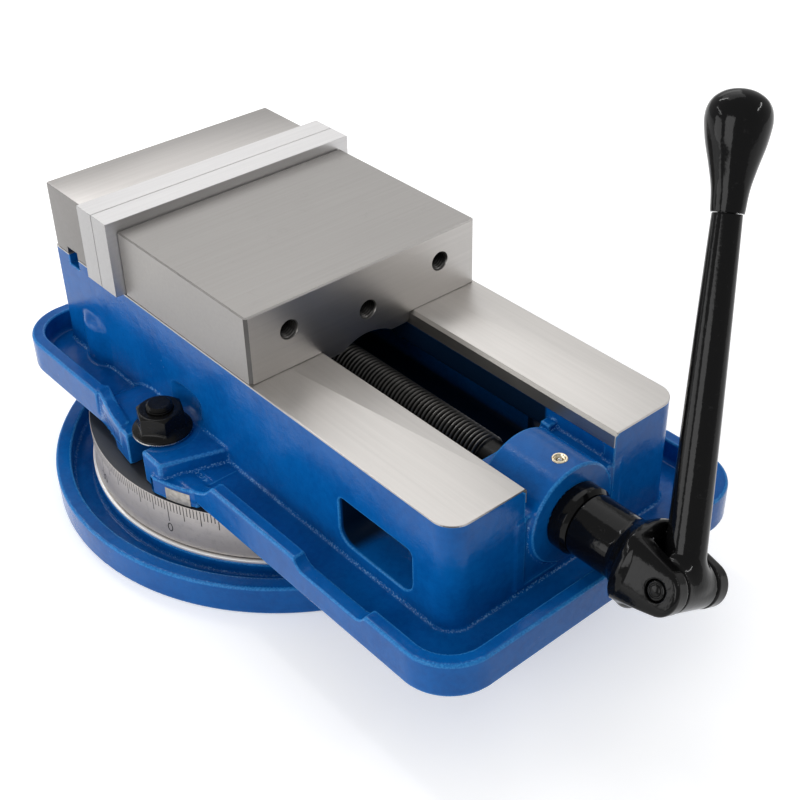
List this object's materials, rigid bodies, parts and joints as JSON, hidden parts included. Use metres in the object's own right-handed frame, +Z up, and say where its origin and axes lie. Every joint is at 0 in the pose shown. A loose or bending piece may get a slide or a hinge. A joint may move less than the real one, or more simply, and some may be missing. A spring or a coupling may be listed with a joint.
{
  "type": "swivel milling vise",
  "caption": "Angle-lock milling vise with ground rails, a sliding jaw on a lead screw with a folding crank, and a graduated swivel base.",
  "frame": {"origin": "on the swivel axis, at the underside of the base where it stands on the machine table", "axes": "+Y from the operator's crank towards the fixed jaw, along the screw; +X to the operator's right, along the jaws; +Z up"},
  "size_m": [0.2648, 0.4126, 0.2599],
  "materials": {
    "blue_enamel": "glossy blue enamel over a cast skin",
    "ground_steel": "surface ground with fine straight lines",
    "bare_plate": "bare turned and engraved steel",
    "screw_steel": "dark oiled screw steel",
    "bright_steel": "bright machined steel",
    "cast_iron": "machined ductile iron",
    "black_oxide": "black oxide",
    "gloss_black": "glossy black enamel",
    "oil_cup_brass": "nickelled brass"
  },
  "bodies": {
    "base": {"swivel_base": "blue_enamel", "pivot_pin": "bright_steel"},
    "vise": {"vise_body": "blue_enamel", "index_plate": "bare_plate", "oil_cup": "oil_cup_brass", "oil_cup_ball": "bright_steel", "fixed_jaw": "ground_steel", "fixed_jaw_key": "bright_steel", "fixed_jaw_plate": "ground_steel", "fixed_plate_screw_left": "black_oxide", "fixed_plate_screw_right": "black_oxide", "fixed_jaw_bolt_left": "black_oxide", "fixed_jaw_bolt_right": "black_oxide", "clamp_stud_left": "black_oxide", "clamp_stud_right": "black_oxide", "thrust_bearing_front": "bright_steel", "thrust_bearing_rear": "bright_steel", "bearing_cap": "gloss_black"},
    "left_clamp": {"clamp_nut_left": "black_oxide"},
    "right_clamp": {"clamp_nut_right": "black_oxide"},
    "jaw": {"moving_jaw": "ground_steel", "moving_jaw_plate": "ground_steel", "moving_plate_screw_left": "black_oxide", "moving_plate_screw_right": "black_oxide", "jaw_nut": "cast_iron", "pull_down_segment": "bright_steel", "nut_set_screw": "black_oxide"},
    "screw": {"lead_screw": "screw_steel", "crank_socket": "gloss_black", "clevis_pin": "gloss_black"},
    "crank": {"crank_arm": "gloss_black", "crank_knob": "gloss_black"}
  },
  "joints": [
    {"name": "swivel", "type": "hinge", "parent": "base", "child": "vise", "pos_m": [0, 0, 0.0422], "axis": [0, 0, 1], "continuous": true},
    {"name": "left_clamp_turn", "type": "hinge", "parent": "vise", "child": "left_clamp", "pos_m": [-0.0865, -0.0069, 0.0615], "axis": [0, 0, 1], "range_deg": [0, 360]},
    {"name": "right_clamp_turn", "type": "hinge", "parent": "vise", "child": "right_clamp", "pos_m": [0.0865, -0.0069, 0.0615], "axis": [0, 0, 1], "range_deg": [0, 360]},
    {"name": "jaw_slide", "type": "slide", "parent": "vise", "child": "jaw", "axis": [0, -1, 0], "range_m": [0, 0.15]},
    {"name": "screw_spin", "type": "hinge", "parent": "vise", "child": "screw", "pos_m": [0, -0.2077, 0.0836], "axis": [0, -1, 0], "range_deg": [0, 21590]},
    {"name": "crank_fold", "type": "hinge", "parent": "screw", "child": "crank", "pos_m": [0, -0.2696, 0.0836], "axis": [0.8965, 0, -0.4431], "range_deg": [0, 215.8]}
  ],
  "couplings": [
    {"joint": "jaw_slide", "follows": "screw_spin", "m_per_rad": 0.00039789}
  ]
}
